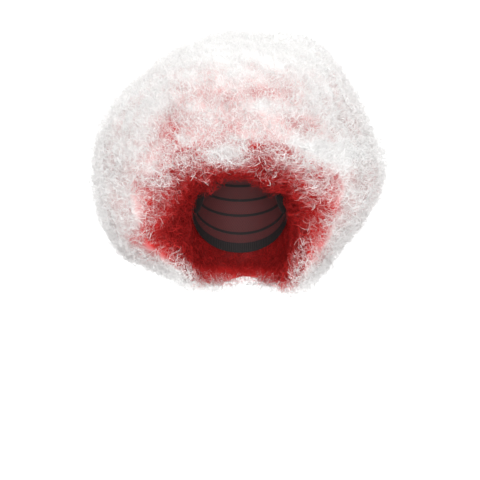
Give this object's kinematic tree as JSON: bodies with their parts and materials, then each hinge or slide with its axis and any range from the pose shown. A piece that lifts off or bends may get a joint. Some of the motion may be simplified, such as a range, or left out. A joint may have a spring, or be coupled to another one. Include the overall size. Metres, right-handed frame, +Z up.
{
  "type": "afro wig",
  "caption": "Large round afro wig: a thin stretch-net cap carrying a ball of frizzed hair, deep red at the roots and white at the tips, open for the head and face.",
  "frame": {"origin": "inside of the cap at the crown, where the wig sits on the top of a head", "axes": "+Z up, -Y out of the face opening, +X towards the wearer's left"},
  "size_m": [0.4445, 0.404, 0.4103],
  "materials": {
    "cap_net": "dark elastic net, matte",
    "frosted_hair": "fine frizzed synthetic hair, deep red roots fading to white tips"
  },
  "bodies": {
    "root": {"cap": "cap_net", "left_ear_tab": "cap_net", "right_ear_tab": "cap_net", "crown_hair": "frosted_hair", "fringe_hair": "frosted_hair", "left_side_hair": "frosted_hair", "right_side_hair": "frosted_hair", "back_hair": "frosted_hair", "nape_hair": "frosted_hair"}
  },
  "joints": []
}
